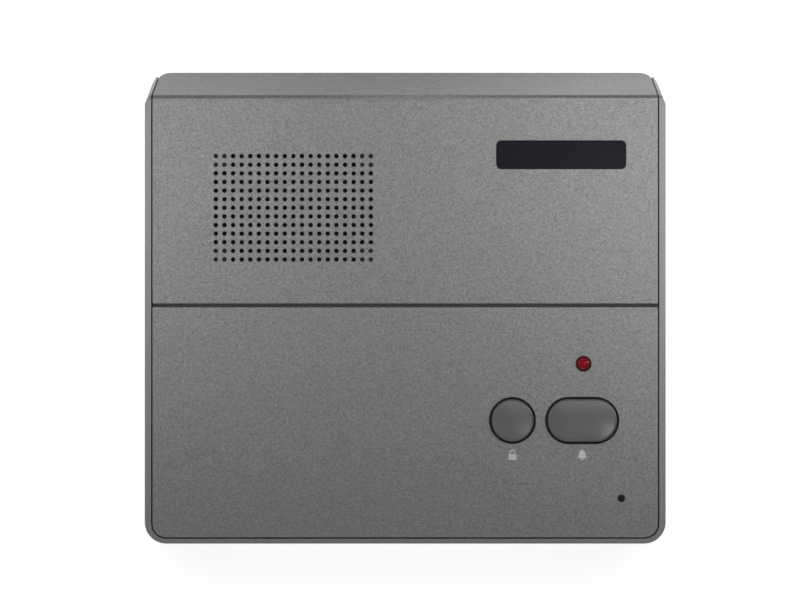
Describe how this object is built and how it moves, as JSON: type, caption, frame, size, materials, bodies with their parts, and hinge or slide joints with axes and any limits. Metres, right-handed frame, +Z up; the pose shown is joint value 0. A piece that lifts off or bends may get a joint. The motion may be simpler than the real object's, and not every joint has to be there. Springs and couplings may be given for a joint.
{
  "type": "teller window intercom",
  "caption": "Grey wedge-shaped desk intercom with a grille, label plate, round and oval push buttons, a red lamp and a microphone hole.",
  "frame": {"origin": "centre of the footprint on the table, under the feet", "axes": "+Z up, +X to the right of the user, +Y towards the thick rear end; the user sits at -Y"},
  "size_m": [0.17, 0.1618, 0.0505],
  "materials": {
    "case_plastic": "fine spark-eroded texture",
    "cap_plastic": "satin",
    "label_film": "satin",
    "mark_ink": "matte",
    "foot_rubber": "matte",
    "screw_steel": "zinc plated",
    "speaker_cloth": "matte",
    "foam": "matte",
    "frame_paint": "satin",
    "cone_paper": "matte",
    "ferrite": "matte",
    "copper": "satin",
    "board_laminate": "satin",
    "black_plastic": "satin",
    "white_plastic": "satin",
    "red_lens": "polished",
    "capsule_aluminium": "satin",
    "can_sleeve": "gloss",
    "dipped_orange": "gloss",
    "resistor_coat": "gloss",
    "trimmer_blue": "gloss",
    "wire_red": "gloss",
    "wire_white": "gloss",
    "wire_yellow": "gloss"
  },
  "bodies": {
    "case": {"base_shell": "case_plastic", "speaker_cover": "case_plastic", "button_panel": "case_plastic", "label_plate": "label_film", "button_marks": "mark_ink", "rubber_feet": "foot_rubber", "case_screws": "screw_steel", "acoustic_cloth": "speaker_cloth", "speaker_gasket": "foam", "speaker_frame": "frame_paint", "speaker_cone": "cone_paper", "dust_cap": "cone_paper", "voice_coil": "copper", "front_plate": "screw_steel", "speaker_magnet": "ferrite", "speaker_yoke": "screw_steel", "speaker_terminals": "copper", "speaker_clamps": "screw_steel", "speaker_screws": "screw_steel", "call_spring": "screw_steel", "call_switch_body": "black_plastic", "privacy_spring": "screw_steel", "privacy_switch_body": "black_plastic", "led_lens": "red_lens", "led_leads": "screw_steel", "led_spacer": "white_plastic", "microphone": "capsule_aluminium", "microphone_boot": "foot_rubber", "main_board": "board_laminate", "board_screws": "screw_steel", "voice_chip": "black_plastic", "amplifier_chip": "black_plastic", "chip_pins": "screw_steel", "electrolytic_capacitors": "can_sleeve", "film_capacitors": "dipped_orange", "resistors": "resistor_coat", "trimmers": "trimmer_blue", "heat_sink": "capsule_aluminium", "regulator": "black_plastic", "wire_headers": "white_plastic", "speaker_wires": "wire_red", "microphone_wires": "wire_white", "board_wires": "wire_yellow", "socket_board": "board_laminate", "power_jack": "black_plastic", "jack_contacts": "copper", "line_jack": "black_plastic", "switch_frame": "screw_steel", "volume_board": "board_laminate", "volume_pots": "black_plastic", "side_board_screws": "screw_steel"},
    "call_button_body": {"call_button": "cap_plastic", "call_plunger": "white_plastic"},
    "privacy_button_body": {"privacy_button": "cap_plastic", "privacy_plunger": "white_plastic"},
    "talk_wheel_body": {"talk_wheel": "black_plastic", "wheel_screws_talk": "screw_steel"},
    "listen_wheel_body": {"listen_wheel": "black_plastic", "wheel_screws_listen": "screw_steel"},
    "power_switch_body": {"switch_knob": "black_plastic"}
  },
  "joints": [
    {"name": "call_press", "type": "slide", "parent": "case", "child": "call_button_body", "axis": [0, 0.1392, -0.9903], "range_m": [0, 0.002], "stiffness_N_per_m": 400, "springref_m": -0.001, "deforming": ["call_spring"]},
    {"name": "privacy_press", "type": "slide", "parent": "case", "child": "privacy_button_body", "axis": [0, 0.1392, -0.9903], "range_m": [0, 0.002], "stiffness_N_per_m": 400, "springref_m": -0.001, "deforming": ["privacy_spring"]},
    {"name": "talk_volume", "type": "hinge", "parent": "case", "child": "talk_wheel_body", "pos_m": [0.0768, -0.03076, 0.0195], "axis": [0, 1, 0], "range_deg": [-135, 135]},
    {"name": "listen_volume", "type": "hinge", "parent": "case", "child": "listen_wheel_body", "pos_m": [0.0768, -0.01366, 0.0195], "axis": [0, 1, 0], "range_deg": [-135, 135]},
    {"name": "power_slide", "type": "slide", "parent": "case", "child": "power_switch_body", "axis": [0, 1, 0], "range_m": [0, 0.004]}
  ]
}
